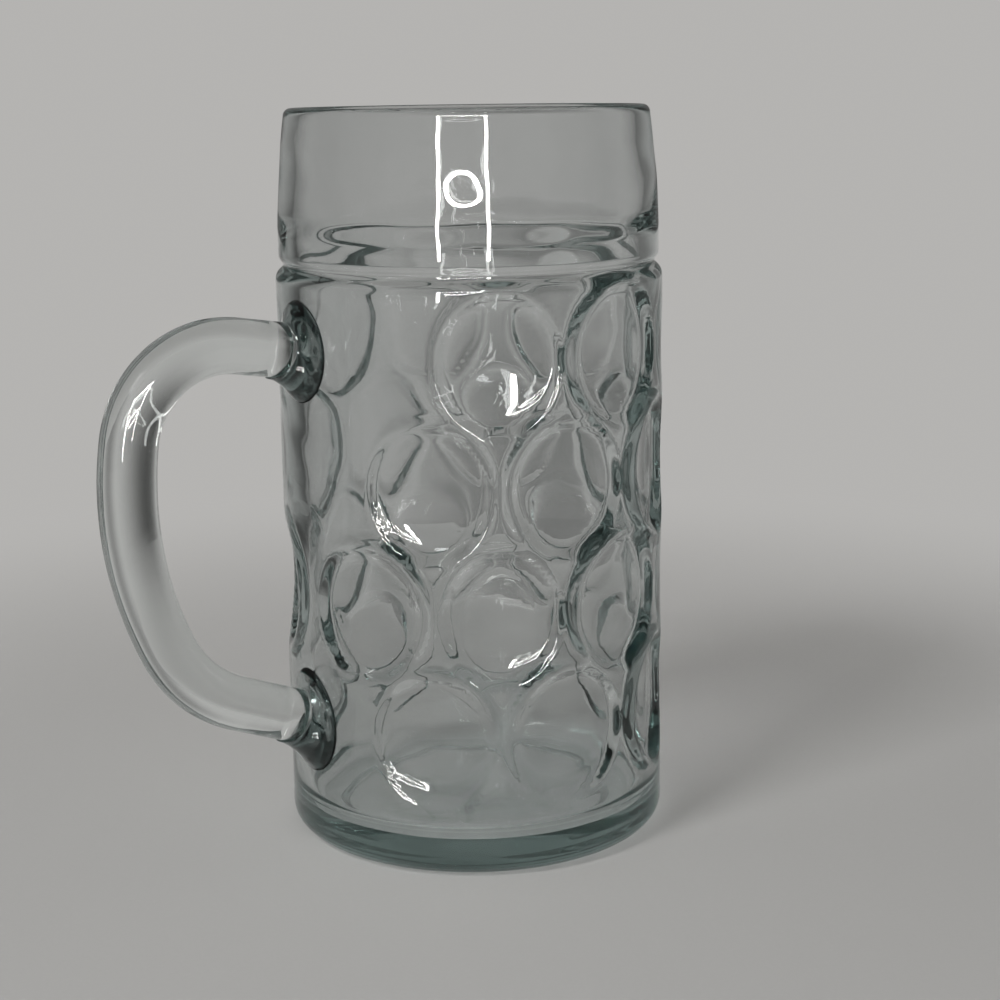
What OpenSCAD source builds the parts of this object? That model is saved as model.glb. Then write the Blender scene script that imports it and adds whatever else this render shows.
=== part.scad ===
// Dimpled glass mug for about a litre: a blown and pressed vessel with staggered round
// dimples, and a solid glass handle that is fused to it at two flared bosses.
// Millimetres. Z points up, the mug stands on z = 0, its axis is the Z axis, and the
// handle points along -X.

/* [Vessel] */
// Height from the table to the lip
mug_h = 198; // [180:1:215]
// Outer diameter of the dimpled barrel
barrel_d = 105; // [100:1:112]
// Wall of the barrel between the dimples
barrel_wall = 6.2; // [5.4:0.2:7]
// Thickness of the floor
floor_t = 10; // [8:0.5:14]
// Radius of the inside corner between wall and floor
floor_corner_r = 4.5; // [3:0.5:8]
// Radius of the outside edge at the foot
foot_round = 6; // [3:0.5:8]

/* [Rim band] */
// Height of the plain band from the groove to the lip
rim_h = 41; // [36:1:46]
// Step from the barrel in to the foot of the band
rim_step = 1; // [0.6:0.2:1.6]
// Wall of the band, and the thickness of the rounded lip
rim_wall = 4.2; // [3.4:0.2:4.8]
// Radius of the slow inward curve of the band, seen from the side
rim_bow_r = 248; // [220:1:400]
// Rounding of the band's lower edge
rim_edge_round = 2.6; // [1.6:0.2:3.4]
// Depth of the groove below the band, from the barrel's surface
groove_depth = 2.3; // [1.8:0.1:3]
// Flat width at the bottom of the groove
groove_w = 1.2; // [0.8:0.2:2]
// Rounding of the barrel's shoulder under the groove
shoulder_round = 4; // [3:0.5:6]
// Height of the sloping ledge inside, where barrel meets band
ledge_h = 7; // [4:1:12]
// Top of that ledge, measured up from the groove
ledge_above = 14; // [8:0.5:18]

/* [Foot] */
// Outer edge to inner edge of the ring that the mug stands on
foot_ring_w = 9; // [6:1:14]
// Depth of the hollow under the foot
foot_hollow = 1.4; // [1:0.2:4]
// Width of the sloping side of that hollow
foot_slope_w = 2; // [2:1:6]

/* [Dimples] */
// Diameter of a dimple at the barrel's surface
dimple_d = 36; // [32:0.5:37]
// Depth of a dimple at its middle
dimple_depth = 5; // [4:0.2:5.6]
// Radius of the hollow floor of a dimple
dimple_floor_r = 80; // [60:1:110]
// Widening of a dimple's edge, per unit of depth
dimple_flare_share = 1; // [0.8:0.1:1.2]
// Glass left behind the middle of a dimple
dimple_wall = 5.2; // [4.6:0.2:6]
// Glass left beside its sloping edge
dimple_side_wall = 4; // [3.4:0.2:4.6]
// Height of the middle of the lowest row
dimple_low_z = 37.2; // [34:0.2:40]
// Height from one row to the next
dimple_row_h = 32.8; // [31:0.2:34]
// Rows of dimples
dimple_rows = 4; // [2:1:4]
// Dimples on each side of the handle in a full row
dimple_side_count = 3; // [1:1:3]
// Angle between the two dimples that flank the handle
dimple_gap_angle = 50; // [46:1:54]
// Angle from one dimple to the next along a side
dimple_pitch_angle = 41; // [38:0.5:42]

/* [Handle] */
// Diameter of the glass rod
rod_d = 15; // [12:0.2:16]
// Height at which the rod's axis meets the barrel at the top
handle_top_z = 136.4; // [130:0.2:140]
// Angle by which the top stretch climbs away from the barrel
handle_rise_angle = 9.5; // [6:0.5:14]
// Length of the straight top stretch, from the barrel to the first bend
handle_top_reach = 18; // [14:0.5:22]
// Radius and sweep of the upper bend
handle_top_bend_r = 26; // [22:1:30]
handle_top_bend_angle = 90.5; // [88:0.5:96]
// Radius and sweep of the long grip
handle_grip_r = 95; // [90:1:110]
handle_grip_angle = 34; // [28:0.5:36]
// Radius and sweep of the lower bend
handle_low_bend_r = 35; // [30:1:38]
handle_low_bend_angle = 43.3; // [40:0.1:48]

/* [Bosses] */
// Diameter of a boss where it meets the barrel
boss_base_d = 26; // [22:0.5:28]
// Glass of the boss around the rod at its outer end
boss_lip = 1; // [0.6:0.1:1.6]
// Height of a boss above the barrel, along the rod
boss_h = 8; // [7:0.5:11]
// Glass between the rod's domed end and the barrel
rod_seat = 1.5; // [1:0.5:3]
// Radius of the rod's domed ends
rod_dome_r = 9; // [8.4:0.2:12]

/* [Hidden] */
$fn = 96;
// steps in each rounded corner of an outline
corner_steps = 6;
bow_steps = 8;
// sides of the rod, rings on each domed end, and the distance between its other rings
rod_sides = 28;
dome_steps = 4;
rod_step = rod_d / 4;
// one overrun serves every cut
cut_over = 5;
glass = [0.72, 0.79, 0.78, 0.45];
boss_glass = [0.36, 0.47, 0.47, 0.6];
handle_turn = 180;

barrel_r = barrel_d / 2;
cavity_r = barrel_r - barrel_wall;
groove_z = mug_h - rim_h;
groove_low_z = groove_z - groove_w / 2;
groove_top_z = groove_z + groove_w / 2;
band_r = barrel_r - rim_step;
lip_r = rim_wall / 2;
// the shoulder and the band's edge turn as far as the groove's depth asks
shoulder_turn = acos(1 - groove_depth / shoulder_round);
band_turn = acos(1 - (groove_depth - rim_step) / rim_edge_round);
shoulder_z = groove_low_z - shoulder_round * sin(shoulder_turn);
band_z = groove_top_z + rim_edge_round * sin(band_turn);
lip_z = mug_h - lip_r;
foot_r = barrel_r - foot_round;
foot_inner_r = foot_r - foot_ring_w;
rod_r = rod_d / 2;
boss_top_r = rod_r + boss_lip;
boss_flare_r = boss_base_d / 2 - boss_top_r;
// the bumps inside follow the dimples, one wall further in
slope_stretch = sqrt(1 + pow(dimple_flare_share, 2));
bump_r = dimple_d / 2 + dimple_side_wall * slope_stretch - dimple_flare_share * barrel_wall;
// how far their tool runs on into the wall, which has to hide its wide end
bump_overlap = barrel_wall / 5;

function on_circle(r, a) = [r * cos(a), r * sin(a)];

// points of an arc about a centre, from one angle to another
function arc(centre, r, from_a, to_a, steps) =
    [for (i = [0:steps]) centre + on_circle(r, from_a + (to_a - from_a) * i / steps)];

// the band's side leans inward as a parabola of radius rim_bow_r
function bow_in(z) = pow(z - band_z, 2) / (2 * rim_bow_r);

function band_side(r, from_z, to_z) =
    [for (i = [0:bow_steps]) let (z = from_z + (to_z - from_z) * i / bow_steps) [r - bow_in(z), z]];

lip_mid = [band_r - bow_in(lip_z) - lip_r, lip_z];
ledge_top_z = groove_z + ledge_above;

outer_side = concat(
    [[0, foot_hollow], [foot_inner_r - foot_slope_w, foot_hollow], [foot_inner_r, 0]],
    arc([foot_r, foot_round], foot_round, -90, 0, corner_steps),
    arc([barrel_r - shoulder_round, shoulder_z], shoulder_round, 0, shoulder_turn, corner_steps),
    arc([band_r - rim_edge_round, band_z], rim_edge_round, -band_turn, 0, corner_steps),
    band_side(band_r, band_z + lip_r, lip_z));

inner_side = concat(
    band_side(band_r - rim_wall, lip_z, ledge_top_z),
    [[cavity_r, ledge_top_z - ledge_h]],
    arc([cavity_r - floor_corner_r, floor_t + floor_corner_r], floor_corner_r, 0, -90, corner_steps),
    [[0, floor_t]]);

lip_turn = 180 / corner_steps;
lip_top = arc(lip_mid, lip_r, lip_turn, 180 - lip_turn, corner_steps - 2);

// a full row leaves the handle's gap in front and the same gap behind
side_angles = [for (i = [0:dimple_side_count - 1]) dimple_gap_angle / 2 + i * dimple_pitch_angle];
full_half = concat(side_angles, [180 - dimple_gap_angle / 2]);
// the rows between stand at the middle of each pair of neighbours, and one is at the back
offset_half = [for (i = [0:len(full_half) - 2]) (full_half[i] + full_half[i + 1]) / 2];
offset_row = concat(offset_half, [180], [for (a = offset_half) 360 - a]);
full_row = concat(full_half, [for (a = full_half) 360 - a]);
// the top row keeps clear of the upper boss
top_row = [for (a = full_row) if (min(a, 360 - a) > dimple_gap_angle / 2) a];

function row_z(i) = dimple_low_z + i * dimple_row_h;

function row_angles(i) = i % 2 == 0 ? offset_row : (row_z(i) + dimple_d > handle_top_z ? top_row : full_row);

// puts a tool on the barrel, with its own z pointing out of the glass
module on_barrel(angle, z) {
    rotate([0, 0, handle_turn + angle])
        translate([barrel_r, 0, z])
            rotate([0, 90, 0])
                children();
}

// a shallow dish with a flared edge
module dimple_tool() {
    intersection() {
        translate([0, 0, dimple_floor_r - dimple_depth])
            sphere(r = dimple_floor_r);
        translate([0, 0, -dimple_depth])
            cylinder(
                h = dimple_depth + cut_over,
                r1 = dimple_d / 2 - dimple_flare_share * dimple_depth,
                r2 = dimple_d / 2 + dimple_flare_share * cut_over);
    }
}

// the glass that a dimple pushes into the cavity, on the same centre as its floor
module bump_tool() {
    bump_tip = dimple_depth + dimple_wall;
    bump_h = bump_tip - barrel_wall;
    intersection() {
        translate([0, 0, dimple_floor_r - dimple_depth])
            sphere(r = dimple_floor_r + dimple_wall);
        translate([0, 0, -bump_tip])
            cylinder(
                h = bump_h + bump_overlap,
                r1 = bump_r - dimple_flare_share * bump_h,
                r2 = bump_r + dimple_flare_share * bump_overlap);
    }
}

module each_dimple() {
    for (i = [0:dimple_rows - 1])
        for (a = row_angles(i))
            on_barrel(a, row_z(i))
                children();
}

module mug_body() {
    color(glass)
        difference() {
            union() {
                rotate_extrude()
                    polygon(concat(outer_side, lip_top, inner_side));
                each_dimple()
                    bump_tool();
            }
            each_dimple()
                dimple_tool();
        }
}

// The rod's axis lies in the XZ plane: a straight, three bends and a straight. A station
// on it is [distance from the Z axis, height, heading, radius of the rod there].
function heading(a) = [cos(a), sin(a)];
function bend_centre(p, a, r) = p + r * [sin(a), -cos(a)];
function bend_point(c, a, r) = c + r * [-sin(a), cos(a)];

top_a = handle_rise_angle;
grip_a = top_a - handle_top_bend_angle;
low_a = grip_a - handle_grip_angle;
end_a = low_a - handle_low_bend_angle;
rod_start = [barrel_r, handle_top_z];
top_bend_c = bend_centre(rod_start + handle_top_reach * heading(top_a), top_a, handle_top_bend_r);
grip_c = bend_centre(bend_point(top_bend_c, grip_a, handle_top_bend_r), grip_a, handle_grip_r);
low_bend_c = bend_centre(bend_point(grip_c, low_a, handle_grip_r), low_a, handle_low_bend_r);
rod_end_p = bend_point(low_bend_c, end_a, handle_low_bend_r);
// the last straight is as long as it takes to reach the barrel again
low_reach = (rod_end_p[0] - barrel_r) / -cos(end_a);
rod_end = rod_end_p + low_reach * heading(end_a);
dome_turn = asin(rod_r / rod_dome_r);

function station(p, a, r) = [p[0], p[1], a, r];

// the domed end at a point of the barrel, from its tip outwards or back to the tip
function dome_station(p, a, way, turn) =
    station(
        p + (rod_seat + rod_dome_r * (1 - cos(turn))) * way * heading(a),
        a,
        rod_dome_r * sin(turn));

function bend_stations(c, r, from_a, to_a) =
    let (steps = ceil((from_a - to_a) / 360 * 2 * PI * r / rod_step))
        [for (i = [0:steps]) let (a = from_a + (to_a - from_a) * i / steps) station(bend_point(c, a, r), a, rod_r)];

stations = concat(
    [for (i = [1:dome_steps]) dome_station(rod_start, top_a, 1, dome_turn * i / dome_steps)],
    bend_stations(top_bend_c, handle_top_bend_r, top_a, grip_a),
    [for (s = [bend_stations(grip_c, handle_grip_r, grip_a, low_a)]) for (i = [1:len(s) - 1]) s[i]],
    [for (s = [bend_stations(low_bend_c, handle_low_bend_r, low_a, end_a)]) for (i = [1:len(s) - 1]) s[i]],
    [for (i = [dome_steps:-1:1]) dome_station(rod_end, end_a, -1, dome_turn * i / dome_steps)]);

// a point on the rod's surface, at a turn about its axis
function around(s, turn) = [
    s[0] - s[3] * cos(turn) * sin(s[2]),
    s[3] * sin(turn),
    s[1] + s[3] * cos(turn) * cos(s[2])];

// puts a tool at a point of the barrel, with its z along the rod, away from the barrel
module on_rod(p, a) {
    rotate([0, 0, handle_turn])
        translate([p[0], 0, p[1]])
            rotate([0, 90 - a, 0])
                children();
}

// the seat of the rod's domed end, as long as the boss is high
module rod_seat_tool() {
    intersection() {
        translate([0, 0, rod_seat])
            cylinder(h = boss_h + cut_over, r = rod_r);
        translate([0, 0, rod_seat + rod_dome_r])
            union() {
                sphere(r = rod_dome_r);
                cylinder(h = boss_h + cut_over, r = rod_dome_r + rod_r);
            }
    }
}

module handle() {
    rings = len(stations);
    tips = rings * rod_sides;
    top_tip = rod_start + rod_seat * heading(top_a);
    low_tip = rod_end - rod_seat * heading(end_a);
    points = concat(
        [for (s = stations) for (k = [0:rod_sides - 1]) around(s, 360 * k / rod_sides)],
        [[top_tip[0], 0, top_tip[1]], [low_tip[0], 0, low_tip[1]]]);
    faces = concat(
        [for (j = [0:rings - 2]) for (k = [0:rod_sides - 1])
            let (m = (k + 1) % rod_sides, a = j * rod_sides, b = a + rod_sides)
                each [[a + k, b + k, a + m], [b + k, b + m, a + m]]],
        [for (k = [0:rod_sides - 1]) [tips, k, (k + 1) % rod_sides]],
        [for (k = [0:rod_sides - 1])
            let (a = tips - rod_sides) [tips + 1, a + (k + 1) % rod_sides, a + k]]);
    color(glass)
        rotate([0, 0, handle_turn])
            polyhedron(points, faces);
}

// a gob of glass that flares from the rod to the barrel in a hollow quarter round
boss_outline = concat(
    [[0, -boss_h], [boss_base_d / 2, -boss_h]],
    arc([boss_base_d / 2, boss_h], boss_flare_r, -90, -180, corner_steps),
    [[0, boss_h]]);

module boss_gob() {
    rotate_extrude()
        polygon(boss_outline);
}

module barrel_core() {
    cylinder(h = mug_h, r = barrel_r);
}

module upper_handle_boss() {
    color(boss_glass)
        difference() {
            on_rod(rod_start, top_a)
                boss_gob();
            barrel_core();
            on_rod(rod_start, top_a)
                rod_seat_tool();
        }
}

module lower_handle_boss() {
    color(boss_glass)
        difference() {
            on_rod(rod_end, end_a - 180)
                boss_gob();
            barrel_core();
            on_rod(rod_end, end_a - 180)
                rod_seat_tool();
        }
}

mug_body();
upper_handle_boss();
lower_handle_boss();
handle();
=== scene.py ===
import math
import bpy
import numpy as np
from mathutils import Matrix, Vector


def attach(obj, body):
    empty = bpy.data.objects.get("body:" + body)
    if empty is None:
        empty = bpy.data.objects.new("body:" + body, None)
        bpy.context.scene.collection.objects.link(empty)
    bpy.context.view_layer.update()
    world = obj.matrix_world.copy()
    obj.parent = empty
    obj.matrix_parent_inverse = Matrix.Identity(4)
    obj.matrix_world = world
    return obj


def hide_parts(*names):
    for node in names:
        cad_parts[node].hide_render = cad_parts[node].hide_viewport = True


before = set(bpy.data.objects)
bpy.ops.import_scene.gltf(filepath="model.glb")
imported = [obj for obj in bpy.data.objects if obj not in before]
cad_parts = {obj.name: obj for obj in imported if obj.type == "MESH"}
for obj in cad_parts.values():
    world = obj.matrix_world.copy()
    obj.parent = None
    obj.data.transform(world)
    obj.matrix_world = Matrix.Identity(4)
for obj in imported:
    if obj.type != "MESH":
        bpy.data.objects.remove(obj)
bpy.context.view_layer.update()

mm = 0.001  # the shapes below are worked out in millimetres, the meshes are in metres
cm = 0.01
handleSide = math.pi  # the handle points along -X


# Meshes

def smoothMax(a, b, blend):
    # the larger of two values, with a parabola of width blend where they cross
    h = np.clip(0.5 + 0.5 * (a - b) / blend, 0, 1)
    return b + (a - b) * h + blend * h * (1 - h)


def smoothMin(a, b, blend):
    # the smaller of two values, rounded the same way
    return -smoothMax(-a, -b, blend)


def arc(centre, radius, fromTurn, toTurn, count):
    # points on a circle about a centre, between two angles in degrees
    turn = np.radians(np.linspace(fromTurn, toTurn, count))
    return np.stack([centre[0] + radius * np.cos(turn), centre[1] + radius * np.sin(turn)], -1)


def stretch(start, end, count):
    # evenly spaced points of a straight stretch, both ends left out
    share = np.linspace(0, 1, count + 2)[1:-1, None]
    return np.asarray(start, float) * (1 - share) + np.asarray(end, float) * share


def direction(angle):
    # the unit step that leads away at an angle
    return np.array([math.cos(angle), math.sin(angle)])


def fullTurn(sides):
    # evenly spaced angles once round, as one row
    return np.linspace(0, 2 * math.pi, sides, endpoint=False)[None, :]


def ringFaces(rings, sides):
    # quads between neighbouring closed rings, and a fan at each pole; the poles' points
    # follow those of the rings
    firstPole = rings * sides
    j, k = np.meshgrid(np.arange(rings - 1), np.arange(sides), indexing="ij")
    a = j * sides + k
    b = j * sides + (k + 1) % sides
    quads = np.stack([a, b, b + sides, a + sides], -1).reshape(-1, 4)
    k = np.arange(sides)
    first = np.stack([np.full(sides, firstPole), (k + 1) % sides, k], -1)
    last = (rings - 1) * sides
    final = np.stack([np.full(sides, firstPole + 1), last + k, last + (k + 1) % sides], -1)
    return quads, first, final


def gridFaces(rows, columns):
    # quads of an open sheet of points
    return [(j * columns + k, j * columns + k + 1, (j + 1) * columns + k + 1, (j + 1) * columns + k)
            for j in range(rows - 1) for k in range(columns - 1)]


def addObject(name, data):
    made = bpy.data.objects.new(name, data)
    bpy.context.scene.collection.objects.link(made)
    return made


def signedVolume(mesh):
    # sum over triangles of the corners' triple product, a sixth of it
    mesh.calc_loop_triangles()
    corners = np.zeros(len(mesh.loop_triangles) * 3, np.int32)
    mesh.loop_triangles.foreach_get("vertices", corners)
    places = np.zeros(len(mesh.vertices) * 3)
    mesh.vertices.foreach_get("co", places)
    a, b, c = places.reshape(-1, 3)[corners.reshape(-1, 3)].transpose(1, 0, 2)
    return float((a * np.cross(b, c)).sum() / 6)


def closedSurface(name, grid, firstPole, lastPole, material):
    # a closed skin from rings of points (ring, side, xyz) in millimetres and a pole at each end
    points = np.concatenate([grid.reshape(-1, 3), [firstPole], [lastPole]]) * mm
    faces = ringFaces(*grid.shape[:2])
    loops = np.concatenate([part.ravel() for part in faces])
    sizes = np.concatenate([np.full(len(part), part.shape[1]) for part in faces])
    mesh = bpy.data.meshes.new(name)
    mesh.vertices.add(len(points))
    mesh.vertices.foreach_set("co", points.ravel())
    mesh.loops.add(len(loops))
    mesh.loops.foreach_set("vertex_index", loops)
    mesh.polygons.add(len(sizes))
    mesh.polygons.foreach_set("loop_start", np.concatenate([[0], np.cumsum(sizes)[:-1]]))
    mesh.polygons.foreach_set("loop_total", sizes)
    mesh.polygons.foreach_set("use_smooth", np.ones(len(sizes), bool))
    mesh.update()
    mesh.validate()
    if signedVolume(mesh) < 0:
        mesh.flip_normals()
    mesh.materials.append(material)
    print(name, len(sizes), "faces,", round(abs(signedVolume(mesh)) / cm ** 3, 1), "cubic cm")
    return addObject(name, mesh)


def standIn(piece, *nodes):
    # the piece takes the place of these CAD nodes and stays with the mug
    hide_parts(*nodes)
    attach(piece, "root")


# Shader maths: an expression on sockets adds its own Math nodes

class Value:
    def __init__(self, tree, socket):
        self.tree = tree
        self.socket = socket

    def math(self, operation, *others):
        return self.tree.math(operation, self, *others)

    def __add__(self, other):
        return self.math("ADD", other)

    def __radd__(self, other):
        return self.tree.math("ADD", other, self)

    def __sub__(self, other):
        return self.math("SUBTRACT", other)

    def __rsub__(self, other):
        return self.tree.math("SUBTRACT", other, self)

    def __mul__(self, other):
        return self.math("MULTIPLY", other)

    def __rmul__(self, other):
        return self.tree.math("MULTIPLY", other, self)

    def __truediv__(self, other):
        return self.math("DIVIDE", other)

    def __rtruediv__(self, other):
        return self.tree.math("DIVIDE", other, self)

    def clamp(self):
        return self.tree.node("ShaderNodeClamp", {}, {"Value": self}, "Result")


class Tree:
    def __init__(self, nodeTree):
        self.nodeTree = nodeTree
        nodeTree.nodes.clear()

    def node(self, kind, settings, inputs, output=None):
        # adds a node: its settings first, then each input's value or link
        made = self.nodeTree.nodes.new(kind)
        for key, value in settings.items():
            setattr(made, key, value)
        for key, value in inputs.items():
            self.feed(made.inputs[key], value)
        return made if output is None else Value(self, made.outputs[output])

    def feed(self, socket, value):
        if isinstance(value, Value):
            self.nodeTree.links.new(value.socket, socket)
        else:
            socket.default_value = value

    def math(self, operation, *values):
        return self.node("ShaderNodeMath", {"operation": operation}, dict(enumerate(values)), 0)

    def outputs(self, made, *names):
        return [Value(self, made.outputs[name]) for name in names]

    def objectPlace(self, scale=(1, 1, 1)):
        place = self.node("ShaderNodeTexCoord", {}, {}, "Object")
        return self.node("ShaderNodeMapping", {}, {"Vector": place, "Scale": scale}, "Vector")

    def noise(self, place, scale, detail, roughness=0.5, distortion=0.0):
        return self.node("ShaderNodeTexNoise", {}, {
            "Vector": place, "Scale": scale, "Detail": detail,
            "Roughness": roughness, "Distortion": distortion}, "Fac")

    def shade(self, grey, tint):
        # a changing grey times a tint's three shares
        red, green, blue = (grey * share for share in tint)
        return self.node("ShaderNodeCombineColor", {}, {"Red": red, "Green": green, "Blue": blue}, "Color")

    def shining(self, grey, tint, power=1.0):
        colour = (*(grey * share for share in tint), 1.0)
        return self.node("ShaderNodeEmission", {}, {"Color": colour, "Strength": power}, "Emission")


def newMaterial(name):
    material = bpy.data.materials.new(name)
    material.use_nodes = True
    return material, Tree(material.node_tree)


# Glass

clearGlass = dict(
    name="clear_glass", clear=0.89, ior=1.5, tint=(0.56, 0.65, 0.64), density=38.0,
    roughLow=0.0, roughHigh=0.035, waveScale=55.0, wave=0.14, fineScale=260.0, fine=0.02)
# painted shade: the same glass as the vessel's, made to swallow far more light on its way through, so that
# the bosses look as dark as light trapped in them and dark surroundings make them
shadedBossGlass = dict(
    name="boss_glass", clear=0.95, ior=1.5, tint=(0.22, 0.34, 0.33), density=160.0,
    roughLow=0.01, roughHigh=0.05, waveScale=120.0, wave=0.16, fineScale=400.0, fine=0.03)
handleGlass = dict(
    name="handle_glass", clear=0.98, ior=1.5, tint=(0.58, 0.68, 0.66), density=20.0,
    roughLow=0.03, roughHigh=0.09, waveScale=80.0, wave=0.16, fineScale=320.0, fine=0.04)
# what all three have: the bump's strength and depth, how much striae and smears are drawn out
# upright, and where smears start, how fast they thicken and how much light they take
glassSkin = dict(
    bump=0.35, bumpDepth=0.001, striaeSquash=0.25, smearSquash=0.5, smearScale=38.0,
    smearStart=0.48, smearGain=3.0, smearDim=0.05)


def makeGlass(look):
    # clear to the eye, tinted by its thickness, with slow waves from the mould,
    # fine pulled striae, and faint smears where it has been handled
    skin = glassSkin
    material, tree = newMaterial(look["name"])
    drawnOut = tree.objectPlace(scale=(1, 1, skin["striaeSquash"]))
    smeared = tree.objectPlace(scale=(1, 1, skin["smearSquash"]))
    waves = tree.noise(tree.objectPlace(), look["waveScale"], detail=2.0, roughness=0.45, distortion=0.3)
    striae = tree.noise(drawnOut, look["fineScale"], detail=3.0, roughness=0.55)
    smears = tree.noise(smeared, skin["smearScale"], detail=4.0, roughness=0.6, distortion=0.8)
    bump = tree.node("ShaderNodeBump", {}, {
        "Strength": skin["bump"], "Distance": skin["bumpDepth"],
        "Height": waves * look["wave"] + striae * look["fine"]}, "Normal")
    film = ((smears - skin["smearStart"]) * skin["smearGain"]).clamp()
    shader = tree.node("ShaderNodeBsdfPrincipled", {}, {
        "Base Color": tree.shade(look["clear"] - film * skin["smearDim"], (1, 1, 1)),
        "Roughness": film * (look["roughHigh"] - look["roughLow"]) + look["roughLow"],
        "IOR": look["ior"], "Transmission Weight": 1.0, "Normal": bump}, "BSDF")
    volume = tree.node("ShaderNodeVolumeAbsorption", {}, {
        "Color": (*look["tint"], 1), "Density": look["density"]}, "Volume")
    tree.node("ShaderNodeOutputMaterial", {}, {"Surface": shader, "Volume": volume})
    return material


# The vessel: one closed profile turned round the axis, with a dish pressed into the
# outside for each dimple and a bump raised inside behind it

vessel = dict(
    height=198.0, barrelR=52.5, wall=6.2, floor=10.0, floorCornerR=4.5, footRound=6.0,
    rimH=41.0, rimStep=1.0, rimWall=4.2, bowR=248.0, bandEdgeR=2.6, shoulderR=4.0, edgeShare=0.86,
    grooveDepth=2.3, grooveW=1.2, grooveLift=0.05, lipGap=15.0, ledgeH=7.0, ledgeAbove=14.0,
    ringW=9.0, hollow=1.4, slopeW=2.0, slopeEdgeR=1.5, slopeTop=(1.2, 0.6), slopeFoot=0.25,
    ringEdge=((0.3, 0.05), (1.0, 0.0)), floorRise=0.9, floorDrop=0.5, floorRiseR=36.0)
# how many sides and rings each stretch of the profile has
vesselRings = dict(
    sides=360, flat=6, slope=2, slopeEdge=3, foot=9, barrel=92, edge=7, band=15, lipOut=6,
    lipIn=5, bandIn=14, ledge=12, cavity=74, corner=12)
# the inside is less even than the outside, and nothing changes at the lip and foot: each calm
# is how far from the lip, foot or middle the swells start and the length over which they grow;
# each swell is its waves round the wall, its waves in a millimetre up, its phase and its size
uneven = dict(
    size=0.17, outerShare=0.35, seed=0.7,
    lipCalm=(0.0, 12.0), footCalm=(3.0, 8.0), middleCalm=(12.0, 30.0),
    swells=((2, 0.021, 0.4, 1.0), (3, 0.034, 2.1, 0.8), (5, 0.055, 4.0, 0.6),
            (7, 0.047, 1.2, 0.45), (11, 0.09, 5.2, 0.3)))
dimple = dict(
    diameter=35.4, depth=5.0, floorR=80.0, flare=0.7, wall=5.2, sideWall=4.0, lowZ=37.2, rowH=32.8, rows=4,
    gapAngle=50.0, pitchAngle=41.0, sideCount=3, edgeBlend=1.9, toeBlend=2.4, bumpBlend=2.8,
    reachTurn=0.62, reachShare=0.62, rounds=4, belowGroove=1.5, aboveGroove=6.0, aboveFloor=0.5)


def dimplePlaces():
    # (angle from the handle in degrees, height) of each dimple, as in the CAD part
    half = [dimple["gapAngle"] / 2 + i * dimple["pitchAngle"] for i in range(dimple["sideCount"])]
    half.append(180 - dimple["gapAngle"] / 2)
    between = [(a + b) / 2 for a, b in zip(half, half[1:])]
    full = half + [360 - a for a in half]
    offset = between + [180] + [360 - a for a in between]
    for row in range(dimple["rows"]):
        z = dimple["lowZ"] + row * dimple["rowH"]
        angles = offset if row % 2 == 0 else full
        if row == dimple["rows"] - 1:  # the upper boss takes the place of two
            angles = [a for a in full if min(a, 360 - a) > dimple["gapAngle"] / 2]
        for angle in angles:
            yield angle, z


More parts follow.
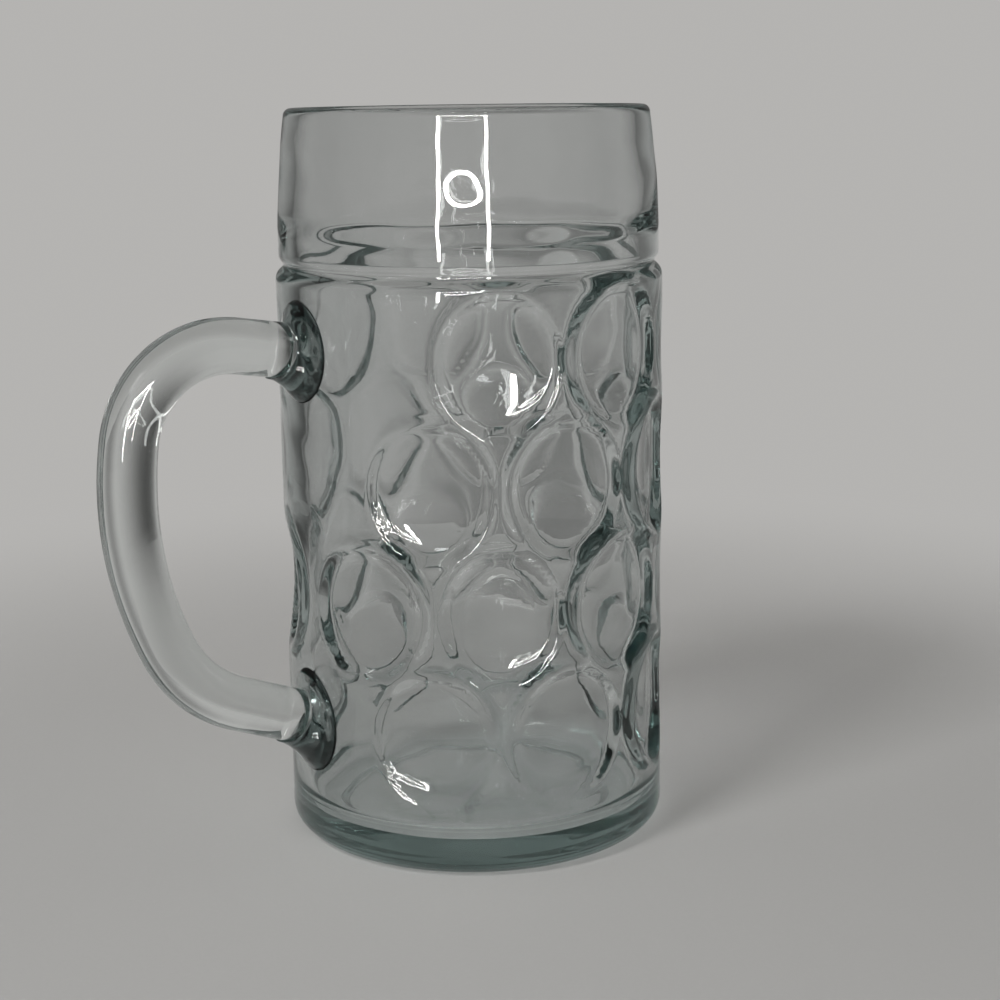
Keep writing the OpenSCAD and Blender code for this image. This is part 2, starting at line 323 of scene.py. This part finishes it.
def vesselProfile():
    # radius and height of each ring, from the middle of the underside, up the outside,
    # over the lip and down to the middle of the floor; and how many of them are outside
    v = vessel
    n = vesselRings
    barrelR, cavityR = v["barrelR"], v["barrelR"] - v["wall"]
    bandR = barrelR - v["rimStep"]
    grooveZ = v["height"] - v["rimH"]
    grooveLow, grooveTop = grooveZ - v["grooveW"] / 2, grooveZ + v["grooveW"] / 2
    shoulderTurn = math.acos(1 - v["grooveDepth"] / v["shoulderR"])
    bandTurn = math.acos(1 - (v["grooveDepth"] - v["rimStep"]) / v["bandEdgeR"])
    shoulderZ = grooveLow - v["shoulderR"] * math.sin(shoulderTurn)
    bandZ = grooveTop + v["bandEdgeR"] * math.sin(bandTurn)
    shoulderEnd, bandStart = (math.degrees(turn) * v["edgeShare"] for turn in (shoulderTurn, bandTurn))
    lipR = v["rimWall"] / 2
    lipZ = v["height"] - lipR
    footR = barrelR - v["footRound"]
    ringR = footR - v["ringW"]
    slopeR = ringR - v["slopeW"]
    slopeOut, slopeDown = v["slopeTop"]
    ringEdge = [(ringR + out, z) for out, z in v["ringEdge"]]

    def band(radius, heights):
        # the band leans inward as a parabola
        return np.stack([radius - (heights - bandZ) ** 2 / (2 * v["bowR"]), heights], -1)

    lipMid = (bandR - (lipZ - bandZ) ** 2 / (2 * v["bowR"]) - lipR, lipZ)
    outer = [
        stretch((0, v["hollow"]), (slopeR, v["hollow"]), n["flat"]),
        arc((slopeR, v["hollow"] - v["slopeEdgeR"]), v["slopeEdgeR"], 90, 45, n["slopeEdge"]),
        stretch((slopeR + slopeOut, v["hollow"] - slopeDown), (ringR, v["slopeFoot"]), n["slope"]),
        ringEdge,
        stretch(ringEdge[-1], (footR, 0), n["slope"]),
        arc((footR, v["footRound"]), v["footRound"], -90, 0, n["foot"]),
        stretch((barrelR, v["footRound"]), (barrelR, shoulderZ), n["barrel"]),
        arc((barrelR - v["shoulderR"], shoulderZ), v["shoulderR"], 0, shoulderEnd, n["edge"]),
        [(barrelR - v["grooveDepth"] + v["grooveLift"], grooveZ)],
        arc((bandR - v["bandEdgeR"], bandZ), v["bandEdgeR"], -bandStart, 0, n["edge"]),
        band(bandR, np.linspace(bandZ, lipZ, n["band"] + 1)[1:]),
        arc(lipMid, lipR, v["lipGap"], 90, n["lipOut"])]
    ledgeTop = grooveZ + v["ledgeAbove"]
    ledge = np.linspace(0, 1, n["ledge"] + 1)[1:, None]
    ledgeEase = ledge * ledge * (3 - 2 * ledge)  # level at both ends
    bandInner = band(bandR - v["rimWall"], np.linspace(lipZ, ledgeTop, n["bandIn"]))
    ledgeFrom, ledgeTo = bandInner[-1], np.array([cavityR, ledgeTop - v["ledgeH"]])
    cornerMid = (cavityR - v["floorCornerR"], v["floor"] + v["floorCornerR"])
    inner = [
        arc(lipMid, lipR, 90 + v["lipGap"], 180 - v["lipGap"], n["lipIn"]),
        bandInner,
        ledgeFrom + (ledgeTo - ledgeFrom) * np.concatenate([ledgeEase, ledge], 1),
        stretch(ledgeTo, (cavityR, cornerMid[1]), n["cavity"]),
        arc(cornerMid, v["floorCornerR"], 0, -90, n["corner"]),
        stretch((cornerMid[0], v["floor"]), (0, v["floor"]), n["flat"])]
    outer, inner = (np.concatenate([np.asarray(part, float) for part in side]) for side in (outer, inner))
    return np.concatenate([outer, inner]), len(outer)


def dishRadius(radius, z, turn, angle, rowZ, height):
    # the distance from the axis at which a surface given as a height over the barrel's
    # tangent plane, as a function of the distance from the dimple's middle, is met
    away = turn - handleSide - math.radians(angle)
    away = (away + math.pi) % (2 * math.pi) - math.pi
    near = np.abs(away) < dimple["reachTurn"]
    away = np.where(near, away, dimple["reachTurn"])
    found = radius.copy()
    for _ in range(dimple["rounds"]):
        spread = np.hypot(found * np.sin(away), z - rowZ)
        found = (vessel["barrelR"] + height(spread)) / np.cos(away)
    return found, near


def sphereHeight(spread, ballR):
    # the height over the tangent plane of a ball's inmost face, with the dish's own centre;
    # the root is kept real past the ball's side
    return dimple["floorR"] - dimple["depth"] - np.sqrt(np.maximum(ballR ** 2 - spread ** 2, 1))


def dishHeight(spread):
    # a hollow sphere that turns up into a flared edge
    d = dimple
    edge = (spread - d["diameter"] / 2) / d["flare"]
    return smoothMax(sphereHeight(spread, d["floorR"]), edge, d["toeBlend"])


def bumpHeight(spread):
    # the same sphere one wall further in, with its own flared edge
    d = dimple
    edgeR = d["diameter"] / 2 + d["sideWall"] * math.hypot(1, d["flare"]) - d["flare"] * vessel["wall"]
    edge = (spread - edgeR) / d["flare"] - vessel["wall"]
    return smoothMax(sphereHeight(spread, d["floorR"] + d["wall"]), edge, d["bumpBlend"])


def unevenWall(z, turn):
    # slow swells left by pressing: a sum of a few waves round and up the wall
    seed = uneven["seed"]
    swell = np.zeros(z.shape)
    for around, up, phase, size in uneven["swells"]:
        swell += size * np.sin(around * turn + phase + seed) * np.sin(up * z * 2 * math.pi + seed * phase)
    return swell


def makeVessel(material):
    # the profile's radius at every angle, less the dishes, plus the swells
    v = vessel
    d = dimple
    profile, outerCount = vesselProfile()
    profileZ = profile[:, 1]
    sides = vesselRings["sides"]
    radius = np.repeat(profile[:, :1], sides, 1)
    z = np.repeat(profile[:, 1:], sides, 1)
    turns = np.repeat(fullTurn(sides), len(profile), 0)
    grooveZ = v["height"] - v["rimH"]
    outside = np.arange(len(profile)) < outerCount
    floorEdge = v["floor"] + d["aboveFloor"]
    onBarrel = outside & (profileZ > v["footRound"]) & (profileZ < grooveZ - d["belowGroove"])
    inCavity = ~outside & (profileZ > floorEdge) & (profileZ < grooveZ + d["aboveGroove"])
    for angle, rowZ in dimplePlaces():
        inReach = np.abs(profileZ - rowZ) < d["diameter"] * d["reachShare"]
        for wallRows, height, blend in (
                (onBarrel, dishHeight, d["edgeBlend"]), (inCavity, bumpHeight, d["bumpBlend"])):
            rows = wallRows & inReach
            found, near = dishRadius(radius[rows], z[rows], turns[rows], angle, rowZ, height)
            radius[rows] = np.where(near, smoothMin(radius[rows], found, blend), radius[rows])
    calm = 1.0
    for away, (start, length) in (
            (v["height"] - z, uneven["lipCalm"]), (z, uneven["footCalm"]), (radius, uneven["middleCalm"])):
        calm = calm * np.clip((away - start) / length, 0, 1)
    swell = unevenWall(z, turns)
    swell = swell - np.where(outside[:, None], swell.max(), 0)  # the outside only ever falls inward
    radius = radius + uneven["size"] * np.where(outside, uneven["outerShare"], 1.0)[:, None] * calm * swell
    # the floor is drawn up a little towards its middle, as half a wave of a cosine
    onFloor = ~outside[:, None] & (z < floorEdge)
    half = np.clip(radius / v["floorRiseR"], 0, 1) * math.pi
    z = z + np.where(onFloor, v["floorRise"] * np.cos(half) - v["floorDrop"], 0)
    grid = np.stack([radius * np.cos(turns), radius * np.sin(turns), z], -1)
    floorMiddle = v["floor"] + v["floorRise"] - v["floorDrop"]
    return closedSurface("mug_vessel", grid, (0, 0, v["hollow"]), (0, 0, floorMiddle), material)


# The handle: a round rod carried along a straight, three bends and a straight

handle = dict(
    rodR=7.49, topZ=136.4, rise=9.5, topReach=18.0, topBendR=26.0, topBend=90.5, gripR=95.0, grip=34.0,
    lowBendR=35.0, lowBend=43.3, seat=1.5, domeR=9.0, sides=64, step=1.4, domeRings=10,
    thin=0.03, wobble=0.01, wobbles=23.0)


def rodPath():
    # points (distance from the axis, height) and headings along the rod's own axis
    h = handle
    here = np.array([vessel["barrelR"], h["topZ"]])
    heading = math.radians(h["rise"])
    points, headings = [], []

    def ahead(length, start=0.0):
        nonlocal here
        count = max(2, int((length - start) / h["step"]))
        for s in np.linspace(start, length, count, endpoint=False):
            points.append(here + s * direction(heading))
            headings.append(heading)
        here = here + length * direction(heading)

    def bend(radius, sweep):
        nonlocal here, heading
        centre = here - radius * direction(heading + math.pi / 2)
        sweep = math.radians(sweep)
        count = max(2, int(sweep * radius / h["step"]))
        for turned in np.linspace(0, sweep, count, endpoint=False):
            points.append(centre + radius * direction(heading - turned + math.pi / 2))
            headings.append(heading - turned)
        heading -= sweep
        here = centre + radius * direction(heading + math.pi / 2)

    domeDepth = h["domeR"] - math.sqrt(h["domeR"] ** 2 - h["rodR"] ** 2)
    ahead(h["topReach"], h["seat"] + domeDepth)
    bend(h["topBendR"], h["topBend"])
    bend(h["gripR"], h["grip"])
    bend(h["lowBendR"], h["lowBend"])
    lowReach = (here[0] - vessel["barrelR"]) / -math.cos(heading)
    lowEnd = here + lowReach * direction(heading)
    ahead(lowReach - h["seat"] - domeDepth)
    points.append(here)
    headings.append(heading)
    return np.array(points), np.array(headings), lowEnd


def makeHandle(material):
    # a circle carried along the path, which shrinks over a ball's cap at each end
    h = handle
    points, headings, lowEnd = rodPath()
    topEnd = np.array([vessel["barrelR"], h["topZ"]])
    topWay, lowWay = direction(headings[0]), direction(headings[-1])
    domeTurn = math.asin(h["rodR"] / h["domeR"])
    turns = np.linspace(0, domeTurn, h["domeRings"] + 1)[1:-1]
    depth = (h["seat"] + h["domeR"] * (1 - np.cos(turns)))[:, None]
    dome = h["domeR"] * np.sin(turns)
    path = np.concatenate([topEnd + depth * topWay, points, (lowEnd - depth * lowWay)[::-1]])
    angle = np.pad(headings, len(turns), "edge")[:, None]
    rodR = np.concatenate([dome, np.full(len(points), h["rodR"]), dome[::-1]])
    # the rod is drawn by hand: it is full at the grip, thinner between the grip and its ends,
    # and not quite even
    along = np.linspace(0, 1, len(path))
    thinner = h["thin"] * (1 + np.cos(along * 2 * math.pi)) + h["wobble"] * np.sin(along * h["wobbles"])
    rodR = rodR * (1 - np.maximum(thinner, 0) * np.sqrt(np.sin(along * math.pi)))
    around = fullTurn(h["sides"])
    across = rodR[:, None] * np.cos(around)
    side = rodR[:, None] * np.sin(around)
    out = path[:, :1] - across * np.sin(angle)
    z = path[:, 1:] + across * np.cos(angle)
    firstTip = topEnd + h["seat"] * topWay
    lastTip = lowEnd - h["seat"] * lowWay
    return closedSurface(
        "mug_handle", np.stack([-out, side, z], -1), (-firstTip[0], 0, firstTip[1]),
        (-lastTip[0], 0, lastTip[1]), material)


# The bosses: gobs of glass that spread from the rod over the barrel

boss = dict(
    baseR=13.2, narrow=0.1, lip=0.12, lipRise=0.1, sideH=2.6, topH=4.8, lowH=8.0, saddle=1.6,
    edge=0.9, tuck=0.25, skirt=8.0, hollow=1.7, air=0.06, sides=96, baseRings=12, flareRings=24,
    seatRings=18)


def makeBoss(name, foot, heading, material):
    # rings about the rod's axis: over the barrel, up the flare, and down the rod's seat
    b = boss
    rodR = handle["rodR"] + b["air"]
    domeR = handle["domeR"] + b["air"]
    domeFoot = handle["seat"] - b["air"]
    around = fullTurn(b["sides"])
    along = np.array([math.cos(heading), 0, math.sin(heading)])  # out of the barrel
    upward = np.array([-math.sin(heading), 0, math.cos(heading)])
    sideways = np.array([0, 1, 0])
    outward = np.cos(around)[..., None] * upward + np.sin(around)[..., None] * sideways
    start = np.array([foot[0], 0, foot[1]])

    def barrelHeight(spread):
        # where a line beside the rod's axis leaves the barrel, measured along the rod
        base = start + spread[..., None] * outward
        a = along[0] ** 2
        half = base[..., 0] * along[0]
        c = base[..., 0] ** 2 + base[..., 1] ** 2 - (vessel["barrelR"] + b["air"]) ** 2
        return (-half + np.sqrt(np.maximum(half ** 2 - a * c, 0))) / a

    def seatRadius(height):
        # the rod's radius at a height above the barrel: a dome, then the rod's own
        down = np.clip(domeR - (height - domeFoot), 0, domeR)
        return np.minimum(rodR, np.sqrt(np.maximum(domeR ** 2 - down ** 2, 0)))

    # the gob reaches far along the rod below and above it, and stays low at its sides
    up = np.cos(around)
    ends = np.where(up > 0, b["topH"], b["lowH"])
    lipTop = b["sideH"] + (ends - b["sideH"]) * np.abs(up) ** b["saddle"]
    lipR = seatRadius(lipTop) + b["lip"]
    baseR = b["baseR"] * (1 - b["narrow"] * np.sin(around) ** 2)
    baseEdge = barrelHeight(baseR)
    baseShares = np.linspace(0, 1, b["baseRings"] + 1)[1:]
    rows = [(baseR * share, barrelHeight(baseR * share)) for share in baseShares]
    for share in np.linspace(0, 1, b["flareRings"] + 1):
        # the height climbs evenly and the glass over the rod thins as a power of what is left,
        # after a rounded skirt at the foot
        skirt = min(1.0, share * b["skirt"])
        spread = lipR + (baseR - b["tuck"] * skirt - lipR) * (1 - share) ** b["hollow"]
        rows.append((spread, (baseEdge + b["edge"] * math.sqrt(skirt)) * (1 - share) + lipTop * share))
    rows.append((lipR - b["lip"] / 2, lipTop + b["lipRise"]))
    for share in np.linspace(0, 1, b["seatRings"] + 1)[:-1]:
        # down the seat, closer together towards its lowest point
        height = domeFoot + (lipTop - domeFoot) * (1 - share) ** 2
        rows.append((seatRadius(height), height))
    spreads, heights = (np.concatenate(part)[..., None] for part in zip(*rows))
    grid = start + heights * along + spreads * outward
    first = start + b["air"] * along
    last = start + domeFoot * along
    turnBack = np.array([-1, -1, 1])  # the handle's side is -X
    return closedSurface(name, grid * turnBack, first * turnBack, last * turnBack, material)


# Stage: a seamless pale floor, soft lamps, painted shade on dark sheets that only glass sees, and the
# camera

view = dict(
    pixelFocus=1921.0, photoWidth=1000.0, sensor=36.0, near=0.01, distance=523.2, height=203.2,
    yaw=0.83, pitch=12.18, roll=-0.74, azimuth=-32.0)
studio = dict(
    wallGrey=0.46, wallTint=(1.0, 0.985, 0.96), mirrorGrey=0.16, floorDim=0.42,
    floorGrey=0.51, floorTint=(1.0, 0.99, 0.97), floorRough=0.6, floorShine=0.25, speckle=0.02,
    speckleScale=900.0, fadeFrom=0.14, fadeTo=0.44, footAir=0.00015, floorSides=64, floorRings=12,
    nearFloor=(0.02, 0.4), farFloor=(0.5, 2.4))
lamps = dict(
    keyPower=30.0, fillPower=19.0, size=0.7, turn=-41.9872, distance=2.01804, height=1.95,
    aim=(0.0, 0.0, 0.1))


def fromCamera(turn, distance, height):
    # a point at an angle from the camera's side of the mug: 0 is towards the camera, + to its right
    a = math.radians(turn + view["azimuth"])
    return math.sin(a) * distance, -math.cos(a) * distance, height


def makeFloor():
    # closed rings about the mug, whose grey fades into the wall's with the distance
    s = studio
    sides = s["floorSides"]
    spans = (s["nearFloor"], s["farFloor"])
    rings = np.concatenate([np.linspace(*span, s["floorRings"]) for span in spans])
    turn = fullTurn(sides)[0]
    z = -s["footAir"]  # a hair below the foot, so that glass and floor never share a plane
    points = [(r * math.cos(t), r * math.sin(t), z) for r in rings for t in turn] + [(0.0, 0.0, z)]
    quads, middle = ringFaces(len(rings), sides)[:2]
    mesh = bpy.data.meshes.new("studio_floor")
    mesh.from_pydata(points, [], quads[:, ::-1].tolist() + middle[:, ::-1].tolist())
    material, tree = newMaterial("studio_floor")
    place = tree.objectPlace()
    away = tree.node("ShaderNodeVectorMath", {"operation": "LENGTH"}, {0: place}, "Value")
    fade = tree.node("ShaderNodeMapRange", {"interpolation_type": "SMOOTHSTEP"}, {
        "Value": away, "From Min": s["fadeFrom"], "From Max": s["fadeTo"]}, "Result")
    grey = (tree.noise(place, s["speckleScale"], detail=2.0) - 0.5) * s["speckle"] + s["floorGrey"]
    lit = tree.node("ShaderNodeBsdfPrincipled", {}, {
        "Base Color": tree.shade(grey, s["floorTint"]), "Roughness": s["floorRough"],
        "Specular IOR Level": s["floorShine"]}, "BSDF")
    far = tree.shining(s["wallGrey"], s["wallTint"])
    mixed = tree.node("ShaderNodeMixShader", {}, {0: fade, 1: lit, 2: far}, "Shader")
    tree.node("ShaderNodeOutputMaterial", {}, {"Surface": mixed})
    mesh.materials.append(material)
    addObject("studio_floor", mesh)


def makeWorld():
    # mirrored rays see a dimmer room than the one that lies behind the mug, and the floor is
    # lit less by the room than by the key lamp, so that the mug's shadow shows on it
    s = studio
    world = bpy.data.worlds.new("studio")
    bpy.context.scene.world = world
    world.use_nodes = True
    tree = Tree(world.node_tree)
    path = tree.node("ShaderNodeLightPath", {}, {})
    glossy, through, diffuse = tree.outputs(path, "Is Glossy Ray", "Is Transmission Ray", "Is Diffuse Ray")
    mirrored = glossy * (1.0 - through)
    grey = s["wallGrey"] + mirrored * (s["mirrorGrey"] - s["wallGrey"])
    colour = tree.shade(grey * (1.0 - diffuse * s["floorDim"]), s["wallTint"])
    light = tree.node("ShaderNodeBackground", {}, {"Color": colour, "Strength": 1.0}, "Background")
    tree.node("ShaderNodeOutputWorld", {}, {"Surface": light})


def glassOnly(name, points, faces, surface):
    # a studio surface that only glass sees
    mesh = bpy.data.meshes.new(name)
    mesh.from_pydata(points, [], faces)
    material, tree = newMaterial(name)
    tree.node("ShaderNodeOutputMaterial", {}, {"Surface": surface(tree)})
    mesh.materials.append(material)
    made = addObject(name, mesh)
    made.visible_camera = False
    made.visible_shadow = False
    made.visible_diffuse = False


# Painted shade on circles round the mug and close to the handle's grip: dark sheets that only glass sees,
# standing in for the dim room round the mug and, behind it, the mug's shadow on the wall. A panel has its
# middle seen from the camera's side and half its width, both in degrees, the height up to which it
# fades in, the height at which it is gone, and how dark it is.
shadeCards = dict(
    grey=0.06, tint=(1.0, 1.0, 0.97), columns=96, rows=16, topFade=0.5,
    # painted shade round the mug: the dim room at its sides and behind it
    mug=dict(middle=(0.0, 0.0), radius=0.34, top=0.44, panels=(
        dict(turn=-120.0, half=20.0, low=0.001, top=0.22, dark=0.6),
        dict(turn=-128.0, half=30.0, low=0.13, top=0.44, dark=0.6),
        dict(turn=128.0, half=30.0, low=0.001, top=0.44, dark=0.75),
        dict(turn=-78.0, half=20.0, low=0.001, top=0.40, dark=0.7),
        dict(turn=78.0, half=22.0, low=0.001, top=0.44, dark=0.7),
        # painted shadow: the mug's own shadow on the wall behind it, as the glass sees it
        dict(turn=174.0, half=17.0, low=0.001, top=0.15, dark=0.55))),
    # painted shade round the grip: the dim room that the rod shows as a dark band
    grip=dict(middle=(-0.10, 0.0), radius=0.12, top=0.19, panels=(
        dict(turn=-146.0, half=40.0, low=0.066, top=0.19, dark=1.0),)))


def makeShadeCards(name, circle):
    # panels of painted shade on a circle: darkness is a smooth step across the half width, times a fade
    # under the top, times the square of a fade over the foot
    c = shadeCards
    middleX, middleY = circle["middle"]
    panels = circle["panels"]
    firstTurn = min(p["turn"] - p["half"] for p in panels)
    lastTurn = max(p["turn"] + p["half"] for p in panels)
    points = []
    for height in np.linspace(0, circle["top"], c["rows"]):
        for turn in np.linspace(firstTurn, lastTurn, c["columns"]):
            x, y, z = fromCamera(turn, circle["radius"], height)
            points.append((x + middleX, y + middleY, z))

    def surface(tree):
        place = tree.node("ShaderNodeTexCoord", {}, {}, "Object")
        centred = tree.node("ShaderNodeVectorMath", {"operation": "SUBTRACT"}, {
            0: place, 1: (middleX, middleY, 0.0)}, "Vector")
        turned = tree.node("ShaderNodeVectorRotate", {"rotation_type": "Z_AXIS"}, {
            "Vector": centred, "Angle": -math.radians(view["azimuth"])}, "Vector")
        parts = tree.node("ShaderNodeSeparateXYZ", {}, {"Vector": turned})
        x, y, z = tree.outputs(parts, "X", "Y", "Z")
        turn = x.math("ARCTAN2", y * -1.0) * math.degrees(1)
        dark = 0.0
        for p in panels:
            apart = (turn - p["turn"]).math("ABSOLUTE")
            share = (1.0 - apart.math("MINIMUM", 360.0 - apart) / p["half"]).clamp()
            below = ((p["top"] - z) / (p["top"] * c["topFade"])).clamp()
            above = (z / p["low"]).clamp()
            dark = share * share * (3.0 - 2.0 * share) * below * above * above * p["dark"] + dark
        # the painted shade itself: a dim glow in the sheets' grey
        paintedShade = tree.shining(c["grey"], c["tint"])
        clear = tree.node("ShaderNodeBsdfTransparent", {}, {}, "BSDF")
        fromFloor = tree.node("ShaderNodeLightPath", {}, {}, "Diffuse Depth").clamp()
        seen = dark * (1.0 - fromFloor)  # the floor under the mug stays lit
        return tree.node("ShaderNodeMixShader", {}, {0: seen, 1: clear, 2: paintedShade}, "Shader")

    glassOnly(name, points, gridFaces(c["rows"], c["columns"]), surface)


# Two upright tubes joined at the top, and a ring lamp, all behind the camera: they draw the
# white lines on the rim and in the dimples
tubes = dict(
    distance=0.70, power=56.0, tint=(1.0, 0.99, 0.97), width=0.024, low=0.09, high=0.41, left=-17.0,
    right=11.0, tubeSteps=5, topSteps=12, ringTurn=-3.0, ringLow=0.200, ringHigh=0.279,
    ringSpread=11.0, ringWidth=0.010, ringSteps=49)


def makeTubes():
    # sheets at one distance from the mug's axis, and a ring of two ellipses there
    s = tubes
    half = math.degrees(s["width"] / s["distance"] / 2)

    def surface(tree):
        return tree.shining(1.0, s["tint"], s["power"])

    def sheet(turns, heights):
        return [fromCamera(t, s["distance"], h) for h in heights for t in turns]

    for name, turn in (("left_tube", s["left"]), ("right_tube", s["right"])):
        points = sheet((turn - half, turn + half), np.linspace(s["low"], s["high"], s["tubeSteps"]))
        glassOnly(name, points, gridFaces(s["tubeSteps"], 2), surface)
    turns = np.linspace(s["left"] - half, s["right"] + half, s["topSteps"])
    points = sheet(turns, (s["high"], s["high"] + s["width"]))
    glassOnly("top_tube", points, gridFaces(2, s["topSteps"]), surface)
    middle = (s["ringLow"] + s["ringHigh"]) / 2
    rise = (s["ringHigh"] - s["ringLow"]) / 2
    points = []
    for share in (1.0, 1 - s["ringWidth"] / rise):
        for t in np.linspace(0, 2 * math.pi, s["ringSteps"]):
            turn = s["ringTurn"] + s["ringSpread"] * share * math.cos(t)
            points.append(fromCamera(turn, s["distance"], middle + rise * share * math.sin(t)))
    glassOnly("ring_lamp", points, gridFaces(2, s["ringSteps"]), surface)


def softLamp(name, power):
    # a square lamp aimed at the mug: it lights the floor, and the tubes draw the highlights
    place = Vector(fromCamera(lamps["turn"], lamps["distance"], lamps["height"]))
    light = bpy.data.lights.new(name, "AREA")
    light.shape = "SQUARE"
    light.size = lamps["size"]
    light.energy = power
    lamp = addObject(name, light)
    lamp.location = place
    lamp.rotation_euler = (Vector(lamps["aim"]) - place).to_track_quat("-Z", "Y").to_euler()
    lamp.visible_glossy = False
    return lamp


def makeCamera():
    # the photograph's camera, found from the mug's outline: yawed, pitched and rolled in front
    # of the mug, then turned about the mug's axis
    yaw, pitch, roll = (math.radians(view[k]) for k in ("yaw", "pitch", "roll"))
    forward = np.array([math.sin(yaw) * math.cos(pitch), math.cos(yaw) * math.cos(pitch), -math.sin(pitch)])
    level = np.array([math.cos(yaw), -math.sin(yaw), 0])
    upright = np.cross(level, forward)
    right = math.cos(roll) * level + math.sin(roll) * upright
    up = -math.sin(roll) * level + math.cos(roll) * upright
    place = np.array([0, -view["distance"], view["height"]]) * mm
    turn = np.array(Matrix.Rotation(math.radians(view["azimuth"]), 3, "Z"))
    pose = np.eye(4)
    pose[:3] = turn @ np.stack([right, up, -forward, place], -1)
    data = bpy.data.cameras.new("camera")
    data.sensor_width = view["sensor"]
    data.lens = view["pixelFocus"] / view["photoWidth"] * view["sensor"]
    data.clip_start = view["near"]
    camera = addObject("camera", data)
    camera.matrix_world = Matrix(pose.tolist())
    bpy.context.scene.camera = camera


scene = bpy.context.scene
scene.view_settings.view_transform = "Standard"
scene.cycles.max_bounces = 28  # light is led a long way round inside thick glass
scene.cycles.glossy_bounces = 24
scene.cycles.transmission_bounces = 28
scene.cycles.transparent_max_bounces = 16
makeCamera()
print("camera set")

glassOfVessel = makeGlass(clearGlass)
# the bosses' glass carries painted shade
shadedGlassOfBoss = makeGlass(shadedBossGlass)
glassOfHandle = makeGlass(handleGlass)
print("glass mixed")

mug = makeVessel(glassOfVessel)
standIn(mug, "mug_body")

rod = makeHandle(glassOfHandle)
standIn(rod, "handle")

headings, lowFoot = rodPath()[1:]
upperBoss = makeBoss("upper_boss_gob", (vessel["barrelR"], handle["topZ"]), headings[0], shadedGlassOfBoss)
standIn(upperBoss, "upper_handle_boss")
lowerBoss = makeBoss("lower_boss_gob", lowFoot, headings[-1] + math.pi, shadedGlassOfBoss)
standIn(lowerBoss, "lower_handle_boss")
print("pieces made")

makeWorld()
makeFloor()
softLamp("key_lamp", lamps["keyPower"])
# glass lets most light through to the floor under it, and this lamp stands for that light
fillLamp = softLamp("fill_lamp", lamps["fillPower"])
fillLamp.data.use_shadow = False
# dark sheets of painted shade, seen only by glass
makeShadeCards("mug_painted_shade", shadeCards["mug"])
makeShadeCards("grip_painted_shade", shadeCards["grip"])
makeTubes()
print("stage set")
